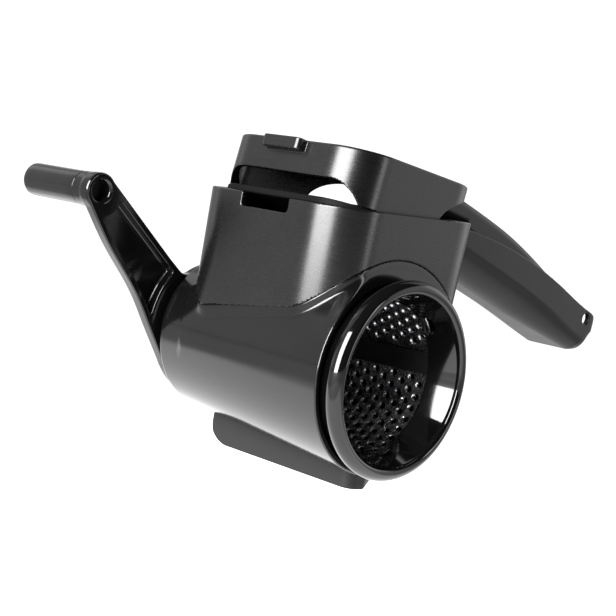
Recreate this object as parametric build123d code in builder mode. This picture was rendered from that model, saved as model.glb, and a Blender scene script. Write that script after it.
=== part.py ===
from build123d import *
import math
import os

os.makedirs("parts", exist_ok=True)

# ------------------------------------------------------------------ dimensions, mm
# X runs along the handle, Y along the drum's axis (open end at -Y), Z up from the foot's face.
AXIS_Z = 39.1  # drum axis above the foot's face

# barrel: tapered, open in front, closed behind
BARREL_FRONT = -39.4
BARREL_REAR = 44.0
R_FRONT = 33.3
R_REAR = 27.45
BARREL_WALL = 2.1
END_WALL = 4.5
SEAM_RISE = 5.6  # the hopper's lower edge stands this far off the barrel's skin

# hopper: rounded square, drafted, rim rising to the handle
HX = 3.0
HY = -3.0
HALF_X = 36.4
HALF_Y = 35.9
CORNER = 17.0
HOPPER_BASE = 48.0
DRAFT = 1.46
HOPPER_WALL = 2.3
RIM_Z = 92.9
RIM_SLOPE = 0.07
NOTCH_W = 21.6
NOTCH_FLOOR = 85.7
LEVER_GATE = 12.9  # half width of the gap in the rear rim
GATE_FLOOR = 84.6

# handle and lever
HANDLE_HALF = 15.0
HANDLE_WALL = 2.2
PIVOT_X = 135.7
PIVOT_Z = 71.5
PIN_R = 2.0
REST_ANGLE = 7.0  # the lever stands open by this much at rest
LEVER_HALF = 12.2
HANG_X = 150.2
HANG_Z = 69.2
HANG_R = 2.5

# pusher, drawn pressed home
PUSH_X = 2.0
PUSH_HALF_X = 32.8
PUSH_HALF_Y = 32.8
PUSH_CORNER = 15.0
PUSH_WALL = 2.4
PLATE_LOW = 70.2
PLATE_T = 2.5
WINDOW_TOP = 79.2
TAB_W = 17.6
TAB_H = 4.0

# drum
RING_FRONT = -48.6
RING_BACK = -42.5
RING_R = 33.35
RING_NECK_R = 30.4
COLLAR_FRONT_R = 29.0
COLLAR_BACK = -36.9
COLLAR_BACK_R = 24.9
NECK_END = -33.8
SLEEVE_GAP = 4.7  # sleeve's skin inside the barrel's skin
SLEEVE_T = 0.6
SLEEVE_END = 35.4
RIB_ANGLES = (12, 132, 252)
RIB_HALF = 3.7
DRUM_END = 38.4

# crank
SHAFT_R = 6.0
BUSH_R = 9.0
DRIVE = 8.0  # square drive across flats
CRANK_Y0 = 45.6
CRANK_Y1 = 54.4
HUB_R = 25.0
ARM_Y1 = 51.0  # outer face of the arm; the hub and knob bosses stand further out
BOSS = (-62.6, 42.3)  # knob axis, from the drum axis
BOSS_R = 6.0
BOSS_BORE = 3.55
KNOB_R = 5.8
KNOB_END = 84.0
SPINDLE_R = 2.5

# foot
FOOT_SCREWS = ((-14, 0.0), (16, 2.1))  # along the barrel, and how much deeper each one sits
FOOT_SCREW_X = 4.0


def barrel_r(y):
    return R_FRONT + (R_REAR - R_FRONT) * (y - BARREL_FRONT) / (BARREL_REAR - BARREL_FRONT)


def seam_r(y):
    return barrel_r(y) + SEAM_RISE


def sleeve_r(y):
    return barrel_r(y) - SLEEVE_GAP


def grow(z):
    return (z - HOPPER_BASE) * math.tan(math.radians(DRAFT))


def section(y):
    """Plane across the drum axis at y: local x is X, local y is height above the axis."""
    return Plane(origin=(0, y, AXIS_Z), x_dir=(1, 0, 0), z_dir=(0, -1, 0))


axis = Axis((0, 0, AXIS_Z), (0, 1, 0))
# half-plane through the drum axis: local x is Y, local y is radius
PROFILE = Plane(origin=(0, 0, AXIS_Z), x_dir=(0, 1, 0), z_dir=(1, 0, 0))
# mid-plane of the hopper and handle: local x is X, local y is Z
SIDE = Plane(origin=(0, HY, 0), x_dir=(1, 0, 0), z_dir=(0, -1, 0))
# front view plane: local x is Y, local y is Z
FRONT = Plane.YZ
# carries what is drawn pressed home up to where the lever rests
TILT = Pos(PIVOT_X, 0, PIVOT_Z) * Rot(0, REST_ANGLE, 0) * Pos(-PIVOT_X, 0, -PIVOT_Z)


def raised(plane):
    """The plane as the lever carries it at rest."""
    return Plane(TILT * plane.location)


# ------------------------------------------------------------------ saddle under the hopper
z0 = 18.0


def flank(y):
    """Outline that runs from the hopper's lower edges tangent to the barrel."""
    r, off = barrel_r(y) - 0.1, seam_r(y)
    xa = HX - HALF_X - 0.1
    za = math.sqrt(off**2 - xa**2)
    xc, zc = HX + HALF_X + 0.1, HOPPER_BASE - AXIS_Z
    ta = math.atan2(za, xa) + math.acos(r / math.hypot(xa, za))
    tc = math.atan2(zc, xc) - math.acos(r / math.hypot(xc, zc))
    return [
        (xa - 2, 60),
        (xa - 2, za + 3),
        (xa, za),
        (r * math.cos(ta), r * math.sin(ta)),
        (r * math.cos(tc), r * math.sin(tc)),
        (xc, zc),
        (xc + 2, 60),
    ]


with BuildPart() as saddle:
    with BuildSketch(Plane.XY.offset(z0)):
        with Locations((HX, HY)):
            RectangleRounded(2 * (HALF_X + grow(z0)), 2 * (HALF_Y + grow(z0)), CORNER + grow(z0))
    extrude(amount=70, taper=-DRAFT)
    with BuildSketch(PROFILE):
        with BuildLine():
            Polyline((-48, 0), (-48, seam_r(-48)), (50, seam_r(50)), (50, 0), close=True)
        make_face()
    revolve(axis=axis, mode=Mode.INTERSECT)
    with BuildSketch(section(-41)):
        with BuildLine():
            Polyline(*flank(-41), close=True)
        make_face()
    with BuildSketch(section(34.5)):
        with BuildLine():
            Polyline(*flank(34.5), close=True)
        make_face()
    loft(ruled=True, mode=Mode.INTERSECT)

# ------------------------------------------------------------------ barrel housing
with BuildPart() as barrel_housing:
    with BuildSketch(PROFILE):
        with BuildLine():
            Polyline((BARREL_FRONT, 0), (BARREL_FRONT, R_FRONT), (BARREL_REAR, R_REAR), (BARREL_REAR, 0), close=True)
        make_face()
    revolve(axis=axis)
    rear_edge = barrel_housing.edges().filter_by(GeomType.CIRCLE).sort_by(Axis.Y)[-1]
    fillet(rear_edge, 1.4)
    add(saddle.part)
    # drum chamber
    back = BARREL_REAR - END_WALL
    with BuildSketch(PROFILE):
        with BuildLine():
            Polyline(
                (BARREL_FRONT - 3, 0),
                (BARREL_FRONT - 3, barrel_r(BARREL_FRONT - 3) - BARREL_WALL),
                (back, barrel_r(back) - BARREL_WALL),
                (back, 0),
                close=True,
            )
        make_face()
    revolve(axis=axis, mode=Mode.SUBTRACT)
    # way from the hopper to the drum
    with BuildSketch(Plane.XY.offset(AXIS_Z + 8)):
        with Locations((0, HY)):
            RectangleRounded(55, 2 * (HALF_Y - HOPPER_WALL), 8.0)
    extrude(amount=60, mode=Mode.SUBTRACT)
    # seat of the bush
    with BuildSketch(section(BARREL_REAR + 1)):
        Circle(BUSH_R)
    extrude(amount=12, mode=Mode.SUBTRACT)
    # blind holes for the foot's screws
    for y, lift in FOOT_SCREWS:
        with BuildSketch(Plane.XY):
            with Locations((FOOT_SCREW_X, y)):
                Circle(1.5)
        extrude(amount=9.4 + lift, mode=Mode.SUBTRACT)

# ------------------------------------------------------------------ hopper
with BuildPart() as hopper_block:
    with BuildSketch(Plane.XY.offset(HOPPER_BASE)):
        with Locations((HX, HY)):
            RectangleRounded(2 * HALF_X, 2 * HALF_Y, CORNER)
    extrude(amount=50, taper=-DRAFT)

with BuildPart() as hopper:
    add(hopper_block.part)
    with BuildSketch(Plane.XY.offset(HOPPER_BASE)):
        with Locations((HX, HY)):
            RectangleRounded(2 * (HALF_X - HOPPER_WALL), 2 * (HALF_Y - HOPPER_WALL), CORNER - HOPPER_WALL)
    extrude(amount=50, taper=-DRAFT, mode=Mode.SUBTRACT)
    # rim
    with BuildSketch(SIDE):
        with BuildLine():
            Polyline(
                (-60, RIM_Z - 60 * RIM_SLOPE),
                (70, RIM_Z + 70 * RIM_SLOPE),
                (70, 120),
                (-60, 120),
                close=True,
            )
        make_face()
    extrude(amount=60, both=True, mode=Mode.SUBTRACT)
    # lower edge follows the barrel
    with BuildSketch(PROFILE):
        with BuildLine():
            Polyline((-60, 0), (-60, seam_r(-60)), (60, seam_r(60)), (60, 0), close=True)
        make_face()
    revolve(axis=axis, mode=Mode.SUBTRACT)
    # notch in the front rim for the pusher's tab
    with BuildSketch(FRONT.offset(-50)):
        with Locations((HY, NOTCH_FLOOR + 10)):
            RectangleRounded(NOTCH_W, 20, 1.2)
    extrude(amount=30, mode=Mode.SUBTRACT)
    # gate in the rear rim for the lever
    with BuildSketch(FRONT.offset(25)):
        with Locations((HY, GATE_FLOOR + 10)):
            Rectangle(2 * LEVER_GATE, 20)
    extrude(amount=30, mode=Mode.SUBTRACT)

# ------------------------------------------------------------------ lower handle
HANDLE_FALL = math.atan(0.249)


def across_handle(lift):
    """Plane square to the handle's underside, at its root."""
    return Plane(origin=(20, HY, 86.9 + lift), x_dir=(0, 1, 0), z_dir=(math.cos(HANDLE_FALL), 0, -math.sin(HANDLE_FALL)))


with BuildPart() as lower_handle:
    with BuildSketch(SIDE.offset(-HANDLE_HALF)):
        with BuildLine():
            Spline((34, 96.2), (62.7, 93.8), (86, 90.9), (106.7, 86.6), (124, 81.7), (140.4, 76.1), (149.5, 73.2), (154.5, 72.0))
            Spline((154.5, 72.0), (158.6, 69.8), (160.4, 66.0), (160.0, 61.0), (157.6, 56.6), (153.6, 54.4), (149.0, 54.78))
            Polyline((149.0, 54.78), (34, 83.41), (34, 96.2))
        make_face()
    extrude(amount=2 * HANDLE_HALF)
    # rounded underside
    with BuildSketch(across_handle(0)):
        with Locations((0, 40)):
            RectangleRounded(2 * HANDLE_HALF, 80, 10)
    extrude(amount=170, mode=Mode.INTERSECT)
    # channel, open above and at the tip
    with BuildSketch(across_handle(2.9)):
        with Locations((0, 40)):
            RectangleRounded(2 * (HANDLE_HALF - HANDLE_WALL), 80, 6)
    extrude(amount=129, mode=Mode.SUBTRACT)
    with BuildSketch(SIDE):
        with BuildLine():
            Polyline((138, 67.0), (146, 62.6), (175, 62.6), (175, 110), (138, 110), close=True)
        make_face()
    extrude(amount=HANDLE_HALF - HANDLE_WALL, both=True, mode=Mode.SUBTRACT)
    # hang hole through both walls, blind sockets for the hinge pin on their inner sides
    with BuildSketch(SIDE):
        with Locations((HANG_X, HANG_Z)):
            Circle(HANG_R)
    extrude(amount=30, both=True, mode=Mode.SUBTRACT)
    with BuildSketch(SIDE):
        with Locations((PIVOT_X, PIVOT_Z)):
            Circle(PIN_R)
    extrude(amount=HANDLE_HALF - 0.8, both=True, mode=Mode.SUBTRACT)
    # front end lies against the hopper
    add(hopper_block.part, mode=Mode.SUBTRACT)

# ------------------------------------------------------------------ hinge pin
with BuildPart() as hinge_pin:
    with BuildSketch(SIDE):
        with Locations((PIVOT_X, PIVOT_Z)):
            Circle(PIN_R)
    extrude(amount=HANDLE_HALF - 0.9, both=True)
    fillet(hinge_pin.edges().filter_by(GeomType.CIRCLE), 0.4)

# ------------------------------------------------------------------ press lever
LEVER_SIDE = raised(SIDE)
LEVER_FRONT_X = PUSH_X + PUSH_HALF_X
with BuildPart() as press_lever:
    with BuildSketch(LEVER_SIDE.offset(-LEVER_HALF)):
        with BuildLine():
            crown = Spline((LEVER_FRONT_X, 95.3), (50, 94.9), (66, 93.4), (86.4, 90.7), (104.5, 86.9), (124.1, 81.6), (PIVOT_X + 1.5, 77.6))
            Polyline(
                (PIVOT_X + 1.5, 77.6),
                (PIVOT_X + 1.5, 67.0),
                (PIVOT_X - 6, 67.6),
                (118, 73.0),
                (100, 78.0),
                (80, 82.4),
                (60, 85.2),
                (LEVER_FRONT_X, 85.9),
                (LEVER_FRONT_X, 95.3),
            )
        make_face()
        with Locations((PIVOT_X, PIVOT_Z)):
            Circle(6.1)
    extrude(amount=2 * LEVER_HALF)
    # hollow underside
    with BuildSketch(LEVER_SIDE):
        with BuildLine():
            Polyline((46, 92.4), (66, 90.7), (86, 88.1), (104, 84.3), (122, 79.3), (122, 60), (46, 60), close=True)
        make_face()
    extrude(amount=LEVER_HALF - 2.2, both=True, mode=Mode.SUBTRACT)
    # pivot bore
    with BuildSketch(LEVER_SIDE):
        with Locations((PIVOT_X, PIVOT_Z)):
            Circle(PIN_R + 0.05)
    extrude(amount=30, both=True, mode=Mode.SUBTRACT)
    # holes for the screws from the pusher
    with BuildSketch(raised(FRONT.offset(LEVER_FRONT_X))):
        with Locations((HY - 6.5, 89.4), (HY + 6.5, 89.4)):
            Circle(1.45)
    extrude(amount=9, mode=Mode.SUBTRACT)
    # lower edges at the front, cleared for the channel's corners
    for side in (-1, 1):
        with BuildSketch(raised(FRONT.offset(LEVER_FRONT_X - 1))):
            with BuildLine():
                Polyline((HY + side * 8.6, 84.5), (HY + side * 13, 84.5), (HY + side * 13, 89.5), close=True)
            make_face()
        extrude(amount=24, mode=Mode.SUBTRACT)

# ------------------------------------------------------------------ pusher
def top_at(x):
    return RIM_Z + RIM_SLOPE * x - 0.4


with BuildPart() as pusher_void:
    with BuildSketch(raised(Plane.XY.offset(60))):
        with Locations((PUSH_X, HY)):
            RectangleRounded(2 * (PUSH_HALF_X - PUSH_WALL), 2 * (PUSH_HALF_Y - PUSH_WALL), PUSH_CORNER - PUSH_WALL)
    extrude(amount=45)
    with BuildSketch(LEVER_SIDE):
        with BuildLine():
            Polyline((-60, top_at(-60) - 2.2), (70, top_at(70) - 2.2), (70, 130), (-60, 130), close=True)
        make_face()
    extrude(amount=60, both=True, mode=Mode.SUBTRACT)

with BuildPart() as pusher_shell:
    with BuildSketch(raised(Plane.XY.offset(PLATE_LOW + PLATE_T))):
        with Locations((PUSH_X, HY)):
            RectangleRounded(2 * PUSH_HALF_X, 2 * PUSH_HALF_Y, PUSH_CORNER)
    extrude(amount=40)
    with BuildSketch(LEVER_SIDE):
        with BuildLine():
            Polyline((-60, top_at(-60)), (70, top_at(70)), (70, 130), (-60, 130), close=True)
        make_face()
    extrude(amount=60, both=True, mode=Mode.SUBTRACT)
    add(pusher_void.part, mode=Mode.SUBTRACT)
    # open front between the cheeks
    with BuildSketch(raised(FRONT.offset(-60))) as front_window:
        with Locations((HY, WINDOW_TOP - 15)):
            Rectangle(2 * (PUSH_HALF_Y - PUSH_WALL), 30)
        fillet(front_window.vertices().group_by(Axis.Z)[-1], 9.5)
    extrude(amount=56, mode=Mode.SUBTRACT)
    # cheeks rise towards the lever
    with BuildSketch(LEVER_SIDE.offset(LEVER_GATE - 0.1)):
        with BuildLine():
            Polyline((14.5, 60), (14.5, 79.0))
            Spline((14.5, 79.0), (16.6, 82.2), (24.8, 87.6), (33.0, 90.2), (45, 91.2), tangents=((0, 1), (1, 0)))
            Polyline((45, 91.2), (45, 60), (14.5, 60))
        make_face()
    extrude(amount=40, mode=Mode.SUBTRACT)
    with BuildSketch(LEVER_SIDE.offset(0.1 - LEVER_GATE)):
        with BuildLine():
            Polyline((14.5, 60), (14.5, 79.0))
            Spline((14.5, 79.0), (16.6, 82.2), (24.8, 87.6), (33.0, 90.2), (45, 91.2), tangents=((0, 1), (1, 0)))
            Polyline((45, 91.2), (45, 60), (14.5, 60))
        make_face()
    extrude(amount=-40, mode=Mode.SUBTRACT)
    with BuildSketch(raised(FRONT.offset(8))):
        with Locations((HY, 70)):
            Rectangle(2 * LEVER_GATE + 4, 30)
    extrude(amount=50, mode=Mode.SUBTRACT)
    # tab that drops into the notch of the hopper's rim
    with BuildSketch(raised(FRONT.offset(PUSH_X - PUSH_HALF_X - 3.9))):
        with Locations((HY + 1.6, top_at(-31) - TAB_H / 2 - 0.15)):
            Rectangle(TAB_W, TAB_H)
    extrude(amount=4.7)
    # screw holes to the lever
    with BuildSketch(raised(FRONT.offset(LEVER_FRONT_X - 6))):
        with Locations((HY - 6.5, 89.4), (HY + 6.5, 89.4)):
            Circle(1.45)
    extrude(amount=9, mode=Mode.SUBTRACT)

with BuildPart() as presser_plate:
    with BuildSketch(raised(Plane.XY.offset(PLATE_LOW))):
        with Locations((PUSH_X, HY)):
            RectangleRounded(2 * 32.9, 2 * 33.0, PUSH_CORNER + 0.2)
    extrude(amount=PLATE_T)
    fillet(presser_plate.edges().group_by(Axis.Z)[0], 0.6)

with BuildPart() as pusher_screws:
    with BuildSketch(raised(FRONT.offset(LEVER_FRONT_X - PUSH_WALL))):
        with Locations((HY - 6.5, 89.4), (HY + 6.5, 89.4)):
            Circle(1.45)
    extrude(amount=9)
    with BuildSketch(raised(FRONT.offset(LEVER_FRONT_X - PUSH_WALL - 1.8))):
        with Locations((HY - 6.5, 89.4), (HY + 6.5, 89.4)):
            Circle(2.6)
    extrude(amount=1.8)

# ------------------------------------------------------------------ drum
with BuildPart() as drum_ring:
    with BuildSketch(PROFILE):
        with BuildLine():
            Polyline((RING_BACK, 31.6), (RING_BACK, RING_NECK_R), (NECK_END, RING_NECK_R), (NECK_END, sleeve_r(COLLAR_BACK) + 0.25), (COLLAR_BACK, sleeve_r(COLLAR_BACK) + 0.25), (COLLAR_BACK, COLLAR_BACK_R), (-46.6, COLLAR_FRONT_R - 0.15))
            bead = Spline((-46.6, COLLAR_FRONT_R - 0.15), (-47.9, 29.25), (RING_FRONT, 30.6), (-47.9, 32.2), (-45.9, RING_R), (-43.6, 32.9), (RING_BACK, 31.6))
        make_face()
    revolve(axis=axis)
    # finger notches in the collar's inner edge
    for a in (47, 167, 287):
        with BuildSketch(Plane(origin=(0, COLLAR_BACK, AXIS_Z), x_dir=(0, 1, 0), z_dir=(math.cos(math.radians(a)), 0, math.sin(math.radians(a)))).offset(22)):
            Circle(4.4)
        extrude(amount=6.3, mode=Mode.SUBTRACT)

with BuildPart() as grating_sleeve:
    with BuildSketch(PROFILE):
        with BuildLine():
            Polyline(
                (COLLAR_BACK + 0.05, sleeve_r(COLLAR_BACK)),
                (SLEEVE_END, sleeve_r(SLEEVE_END)),
                (SLEEVE_END, sleeve_r(SLEEVE_END) - SLEEVE_T),
                (COLLAR_BACK + 0.05, sleeve_r(COLLAR_BACK) - SLEEVE_T),
                close=True,
            )
        make_face()
    revolve(axis=axis)

with BuildPart() as drum_cage:
    # rear wall with the drive socket
    with BuildSketch(section(SLEEVE_END + 0.05)):
        Circle(sleeve_r(SLEEVE_END))
    extrude(amount=-(DRUM_END - SLEEVE_END - 0.05))
    with BuildSketch(section(26)):
        Circle(9.5)
    extrude(amount=-(DRUM_END - 26))
    # ribs inside the sleeve
    for a in RIB_ANGLES:
        ca, sa = math.cos(math.radians(a)), math.sin(math.radians(a))
        with BuildSketch(Plane(origin=(0, 0, AXIS_Z), x_dir=(0, 1, 0), z_dir=(sa, 0, -ca))):
            with BuildLine():
                y0, y1 = COLLAR_BACK + 0.3, SLEEVE_END + 0.1
                r0, r1 = sleeve_r(y0) - SLEEVE_T - 0.4, sleeve_r(y1) - SLEEVE_T - 0.4
                Polyline((y0, r0), (y1, r1), (y1, r1 - 1.5), (y0, r0 - 1.0), close=True)
            make_face()
        extrude(amount=RIB_HALF, both=True)
    # square socket
    with BuildSketch(section(20)):
        Rectangle(DRIVE + 0.3, DRIVE + 0.3)
    extrude(amount=-30, mode=Mode.SUBTRACT)

# ------------------------------------------------------------------ crank
with BuildPart() as drive_shaft:
    with BuildSketch(section(28)):
        Rectangle(DRIVE, DRIVE)
    extrude(amount=-(39.2 - 28))
    chamfer(drive_shaft.faces().sort_by(Axis.Y)[0].edges(), 0.8)
    with BuildSketch(section(39.2)):
        Circle(SHAFT_R)
    extrude(amount=-(46.2 - 39.2))
    with BuildSketch(section(46.2)):
        Rectangle(DRIVE, DRIVE)
    extrude(amount=-(53.6 - 46.2))
    with BuildSketch(section(55)):
        Circle(1.7)
    extrude(amount=12, mode=Mode.SUBTRACT)

with BuildPart() as rear_bush:
    with BuildSketch(section(BARREL_REAR - END_WALL)):
        Circle(BUSH_R)
    extrude(amount=-END_WALL)
    with BuildSketch(section(BARREL_REAR)):
        Circle(12)
    extrude(amount=-0.9)
    with BuildSketch(section(30)):
        Circle(SHAFT_R + 0.05)
    extrude(amount=-30, mode=Mode.SUBTRACT)

with BuildPart() as thrust_washer:
    with BuildSketch(section(45.0)):
        Circle(11)
        Circle(SHAFT_R + 0.02, mode=Mode.SUBTRACT)
    extrude(amount=-0.5)

bx, bz = BOSS
with BuildPart() as crank_arm:
    with BuildSketch(section(CRANK_Y0)):
        with BuildLine():
            Spline((-66.8, 38.0), (-55.8, 25.2), (-39.8, 9.7), (-29.8, -2.8), (-19.5, -15.6))
            Polyline((-19.5, -15.6), (0, 0), (-15.8, 16.2), (-20.8, 19.6), (-26.8, 23.6), (-59.0, 46.9), (-66.8, 38.0))
        make_face()
        Circle(HUB_R)
        with Locations((bx, bz)):
            Circle(BOSS_R)
    extrude(amount=-(ARM_Y1 - CRANK_Y0))
    inner_corner = crank_arm.edges().filter_by(Axis.Y).sort_by(lambda e: math.hypot(e.center().X + 19, e.center().Z - AXIS_Z - 17.8))[0]
    fillet(inner_corner, 4.0)
    rims = crank_arm.faces().sort_by(Axis.Y)[-1].edges()
    fillet(rims, 1.6)
    # bosses behind the arm, for the shaft's seat and the knob's spindle
    with BuildSketch(section(CRANK_Y0 + 1)):
        Circle(10)
        with Locations((bx, bz)):
            Circle(BOSS_R)
    extrude(amount=-(CRANK_Y1 - CRANK_Y0 - 1))
    # pocket in the inner face, closed towards the hub by a wall round the axis
    with BuildSketch(section(CRANK_Y0)) as pocket:
        with BuildLine():
            Polyline((-57.4, 30.2), (-54.2, 26.4), (-38.2, 11.0), (-30.6, 1.4), (-22.4, 14.4), (-26.2, 20.8), (-51.2, 39.0), (-54.8, 36.4), close=True)
        make_face()
        fillet(pocket.vertices(), 1.0)
        Circle(31.0, mode=Mode.SUBTRACT)
    extrude(amount=-3.7, mode=Mode.SUBTRACT)
    # bore in the knob boss
    with BuildSketch(section(CRANK_Y0)):
        with Locations((bx, bz)):
            Circle(BOSS_BORE)
    extrude(amount=-6.4, mode=Mode.SUBTRACT)
    with BuildSketch(section(CRANK_Y0)):
        with Locations((bx, bz)):
            Circle(SPINDLE_R)
    extrude(amount=-20, mode=Mode.SUBTRACT)
    # square seat for the shaft, clearance for the washer and the screw
    with BuildSketch(section(CRANK_Y0)):
        Rectangle(DRIVE, DRIVE)
    extrude(amount=-8.0, mode=Mode.SUBTRACT)
    with BuildSketch(section(CRANK_Y0)):
        Circle(SHAFT_R + 0.05)
    extrude(amount=-0.6, mode=Mode.SUBTRACT)
    with BuildSketch(section(CRANK_Y0)):
        Circle(2.0)
    extrude(amount=-20, mode=Mode.SUBTRACT)

with BuildPart() as shaft_screw:
    with BuildSketch(section(44.6)):
        Circle(1.7)
    extrude(amount=-(CRANK_Y1 - 44.6))
    with BuildSketch(section(CRANK_Y1)):
        Circle(5.0)
    extrude(amount=-2.4)
    fillet(shaft_screw.edges().sort_by(Axis.Y)[-1], 1.2)
    with BuildSketch(section(CRANK_Y1 + 2.4)):
        Rectangle(6.0, 1.1)
        Rectangle(1.1, 6.0)
    extrude(amount=1.3, mode=Mode.SUBTRACT)

with BuildPart() as knob_spindle:
    with BuildSketch(section(CRANK_Y0 + 4.6)):
        with Locations((bx, bz)):
            Circle(BOSS_BORE - 0.15)
    extrude(amount=-1.8)
    with BuildSketch(section(CRANK_Y0 + 6.4)):
        with Locations((bx, bz)):
            Circle(SPINDLE_R)
    extrude(amount=-(78.6 - CRANK_Y0 - 6.4))
    with BuildSketch(section(78.6)):
        with Locations((bx, bz)):
            Circle(3.9)
    extrude(amount=-1.4)

with BuildPart() as knob_grip:
    with BuildSketch(section(CRANK_Y1 + 0.4)):
        with Locations((bx, bz)):
            Circle(KNOB_R)
    extrude(amount=-(KNOB_END - CRANK_Y1 - 0.4))
    fillet(knob_grip.faces().sort_by(Axis.Y)[-1].edges(), 0.9)
    fillet(knob_grip.faces().sort_by(Axis.Y)[0].edges(), 0.5)
    with BuildSketch(section(CRANK_Y1)):
        with Locations((bx, bz)):
            Circle(SPINDLE_R + 0.05)
    extrude(amount=-40, mode=Mode.SUBTRACT)
    with BuildSketch(section(78.3)):
        with Locations((bx, bz)):
            Circle(4.3)
    extrude(amount=-10, mode=Mode.SUBTRACT)

with BuildPart() as knob_cap:
    with BuildSketch(section(81.0)):
        with Locations((bx, bz)):
            Circle(4.3)
    extrude(amount=-(KNOB_END - 0.3 - 81.0))
    fillet(knob_cap.edges().sort_by(Axis.Y)[-1], 0.3)

# ------------------------------------------------------------------ foot
with BuildPart() as stand_foot:
    with BuildSketch(Plane.XY) as foot_plan:
        with BuildLine():
            Polyline((-3, -35.5), (5, -35.5), (42, -10), (42, 22), (30, 36), (-3, 36), close=True)
        make_face()
        fillet(foot_plan.vertices(), 4.0)
    extrude(amount=24)
    # heel rounded up towards the crank
    with BuildSketch(FRONT.offset(-20)) as heel:
        with BuildLine():
            Polyline((-60, 0), (24.5, 0))
            ThreePointArc((24.5, 0), (32.63, 3.37), (36.0, 11.5))
            Polyline((36.0, 11.5), (36.0, 40), (-60, 40), (-60, 0))
        make_face()
    extrude(amount=80, mode=Mode.INTERSECT)
    # sloping top towards the toe, rounded ends
    with BuildSketch(Plane.XZ.offset(-60)):
        with BuildLine():
            Polyline((-10, 60), (60, 60), (60, 5), (42, 5), (24, 14.5), (16, 24), (-10, 40), close=True)
        make_face()
    extrude(amount=120, mode=Mode.SUBTRACT)
    with BuildSketch(PROFILE):
        with BuildLine():
            Polyline((-60, 0), (-60, barrel_r(-60)), (60, barrel_r(60)), (60, 0), close=True)
        make_face()
    revolve(axis=axis, mode=Mode.SUBTRACT)
    for y, lift in FOOT_SCREWS:
        with BuildSketch(Plane.XY):
            with Locations((FOOT_SCREW_X, y)):
                Circle(3.0)
        extrude(amount=4 + lift, mode=Mode.SUBTRACT)
        with BuildSketch(Plane.XY):
            with Locations((FOOT_SCREW_X, y)):
                Circle(1.5)
        extrude(amount=20, mode=Mode.SUBTRACT)

with BuildPart() as foot_screws:
    for y, lift in FOOT_SCREWS:
        with BuildSketch(Plane.XY.offset(1.6 + lift)):
            with Locations((FOOT_SCREW_X, y)):
                Circle(2.8)
        extrude(amount=2.4)
        with BuildSketch(Plane.XY.offset(4.0 + lift)):
            with Locations((FOOT_SCREW_X, y)):
                Circle(1.5)
        extrude(amount=5.4)

# ------------------------------------------------------------------ files
named = {
    "barrel_housing": barrel_housing,
    "hopper": hopper,
    "lower_handle": lower_handle,
    "stand_foot": stand_foot,
    "rear_bush": rear_bush,
    "foot_screws": foot_screws,
    "hinge_pin": hinge_pin,
    "press_lever": press_lever,
    "pusher_shell": pusher_shell,
    "presser_plate": presser_plate,
    "pusher_screws": pusher_screws,
    "drum_ring": drum_ring,
    "grating_sleeve": grating_sleeve,
    "drum_cage": drum_cage,
    "drive_shaft": drive_shaft,
    "thrust_washer": thrust_washer,
    "crank_arm": crank_arm,
    "shaft_screw": shaft_screw,
    "knob_spindle": knob_spindle,
    "knob_grip": knob_grip,
    "knob_cap": knob_cap,
}
for name, piece in named.items():
    piece.part.label = name
    export_step(piece.part, f"parts/{name}.step")
    print(name, len(piece.part.solids()), round(piece.part.volume))
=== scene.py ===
import math
from itertools import product

import bpy
import numpy as np
from mathutils import Matrix


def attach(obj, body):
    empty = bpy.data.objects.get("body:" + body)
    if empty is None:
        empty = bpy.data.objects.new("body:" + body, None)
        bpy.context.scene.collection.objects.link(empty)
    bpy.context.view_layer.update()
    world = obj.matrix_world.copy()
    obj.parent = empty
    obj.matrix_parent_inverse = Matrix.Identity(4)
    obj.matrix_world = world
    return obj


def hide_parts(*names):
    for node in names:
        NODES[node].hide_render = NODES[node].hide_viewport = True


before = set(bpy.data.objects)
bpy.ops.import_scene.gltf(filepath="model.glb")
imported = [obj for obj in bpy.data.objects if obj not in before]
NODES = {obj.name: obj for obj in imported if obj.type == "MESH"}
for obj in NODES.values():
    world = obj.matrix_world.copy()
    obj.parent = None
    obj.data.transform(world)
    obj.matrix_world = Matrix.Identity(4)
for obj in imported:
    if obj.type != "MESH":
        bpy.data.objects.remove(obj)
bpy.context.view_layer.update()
scene = bpy.context.scene

# ---------------------------------------------------------------- dimensions, mm
AXIS_Z = 39.1
BARREL_FRONT, BARREL_REAR = -39.4, 44.0
R_FRONT, R_REAR = 33.3, 27.45
HX, HY = 3.0, -3.0
HALF_X, HALF_Y, CORNER, BASE = 36.4, 35.9, 17.0, 48.0
TAN = math.tan(math.radians(1.46))
RIM_Z, RIM_SLOPE = 92.9, 0.07
SEAM = 5.6
PIVOT = (135.7, 71.5)
REST = math.radians(7.0)
BOSS = (-62.6, 42.3)


def barrel_r(y):
    return R_FRONT + (R_REAR - R_FRONT) * (y - BARREL_FRONT) / (BARREL_REAR - BARREL_FRONT)


# ---------------------------------------------------------------- distance fields
def rr2(x, y, hx, hy, r):
    """Rounded rectangle."""
    qx, qy = np.abs(x) - hx + r, np.abs(y) - hy + r
    return np.minimum(np.maximum(qx, qy), 0) + np.hypot(np.maximum(qx, 0), np.maximum(qy, 0)) - r


def cut(a, b, r=0.0):
    """Inside both, with the edge between them rounded."""
    if np.isscalar(r) and r <= 0:
        return np.maximum(a, b)
    return np.minimum(-r, np.maximum(a, b)) + np.hypot(np.maximum(a + r, 0), np.maximum(b + r, 0))


def join(a, b, r=0.0):
    """Inside either, with the corner between them filled."""
    if np.isscalar(r) and r <= 0:
        return np.minimum(a, b)
    return np.maximum(r, np.minimum(a, b)) - np.hypot(np.maximum(r - a, 0), np.maximum(r - b, 0))


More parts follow.
